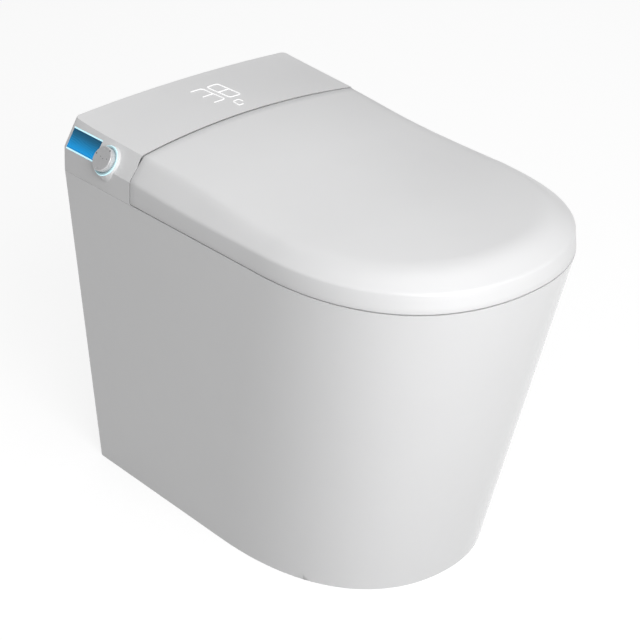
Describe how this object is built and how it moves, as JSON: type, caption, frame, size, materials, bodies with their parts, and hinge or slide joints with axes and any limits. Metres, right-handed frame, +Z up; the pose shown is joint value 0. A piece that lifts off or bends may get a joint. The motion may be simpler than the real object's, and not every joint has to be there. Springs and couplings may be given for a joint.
{
  "type": "smart toilet",
  "caption": "One-piece smart toilet: glazed skirted pan, heated seat and lid on soft-close hinges, rear housing with lit number display, side knob and light strip.",
  "frame": {"origin": "centre of the drain outlet on the floor", "axes": "+Z up; +Y to the wall behind, so the front of the bowl looks to -Y; +X to the right seen from the front"},
  "size_m": [0.4102, 0.636, 0.5215],
  "materials": {
    "ceramic": "gloss",
    "shell_plastic": "gloss",
    "seat_plastic": "satin",
    "white_plastic": "satin",
    "grey_plastic": "matte",
    "black_plastic": "matte",
    "panel_glass": "gloss",
    "light_guide": "lit",
    "light_strip": "lit",
    "display_digits": "lit",
    "knob_metal": "brushed",
    "steel": "brushed",
    "bright_steel": "polished",
    "brass": "satin",
    "rubber": "matte",
    "black_rubber": "matte",
    "foil": "satin",
    "board": "satin"
  },
  "bodies": {
    "pan_and_housing": {"ceramic_pan": "ceramic", "ceramic_bowl": "ceramic", "ceramic_trapway": "ceramic", "floor_seal": "rubber", "base_plate": "grey_plastic", "base_bolts": "steel", "base_nuts": "rubber", "housing_cover": "shell_plastic", "light_panel_lens": "panel_glass", "light_panel_guides": "light_guide", "light_panel_strip": "light_strip", "display_digits": "display_digits", "display_diffuser": "white_plastic", "display_board": "board", "knob_halo": "light_guide", "knob_encoder": "black_plastic", "hinge_post_left": "grey_plastic", "hinge_post_right": "grey_plastic", "seat_damper": "steel", "lid_damper": "steel", "hinge_pin_left": "steel", "hinge_pin_right": "steel", "nozzle_cradle": "grey_plastic", "nozzle_motor": "steel", "dryer_casing": "black_plastic", "dryer_motor": "steel", "dryer_duct": "grey_plastic", "water_heater": "white_plastic", "control_board": "board", "inlet_connector": "brass", "inlet_bracket": "steel", "valve_bracket": "steel", "flush_valve": "black_plastic", "supply_hose": "black_rubber", "flush_hose": "rubber", "cord_gland": "black_rubber", "cover_screws": "steel"},
    "seat": {"seat_base": "seat_plastic", "seat_heater": "foil", "seat_top": "seat_plastic", "seat_bumpers": "rubber"},
    "lid": {"lid_shell": "shell_plastic", "lid_liner": "white_plastic", "lid_bumpers": "rubber"},
    "knob_shaft": {"knob_shaft": "steel"},
    "knob": {"knob_cap": "knob_metal"},
    "nozzle": {"nozzle_wand": "white_plastic", "nozzle_tip": "bright_steel", "nozzle_shield": "white_plastic"},
    "pinion": {"nozzle_pinion": "white_plastic"},
    "impeller": {"dryer_impeller": "white_plastic"},
    "flap": {"dryer_flap": "white_plastic"}
  },
  "joints": [
    {"name": "seat_hinge", "type": "hinge", "parent": "pan_and_housing", "child": "seat", "pos_m": [0, 0.142, 0.496], "axis": [1, 0, 0], "range_deg": [-95, 0]},
    {"name": "lid_hinge", "type": "hinge", "parent": "seat", "child": "lid", "pos_m": [0, 0.142, 0.496], "axis": [-1, 0, 0], "range_deg": [0, 97]},
    {"name": "knob_turn", "type": "hinge", "parent": "pan_and_housing", "child": "knob_shaft", "pos_m": [-0.194, 0.2086, 0.489], "axis": [-0.8, 0, 0.6], "continuous": true},
    {"name": "knob_push", "type": "slide", "parent": "knob_shaft", "child": "knob", "axis": [0.8, 0, -0.6], "range_m": [0, 0.001], "stiffness_N_per_m": 2500},
    {"name": "nozzle_slide", "type": "slide", "parent": "pan_and_housing", "child": "nozzle", "axis": [0, -0.9397, -0.342], "range_m": [0, 0.088]},
    {"name": "pinion_spin", "type": "hinge", "parent": "pan_and_housing", "child": "pinion", "pos_m": [0, 0.18633, 0.47158], "axis": [-1, 0, 0], "range_deg": [-1, 632]},
    {"name": "impeller_spin", "type": "hinge", "parent": "pan_and_housing", "child": "impeller", "pos_m": [0.07, 0.232, 0.46], "axis": [0, 0, 1], "continuous": true},
    {"name": "flap_swing", "type": "hinge", "parent": "pan_and_housing", "child": "flap", "pos_m": [0.046, 0.1369, 0.4612], "axis": [-1, 0, 0], "range_deg": [0, 60]}
  ],
  "couplings": [
    {"joint": "pinion_spin", "follows": "nozzle_slide", "rad_per_m": 125}
  ]
}
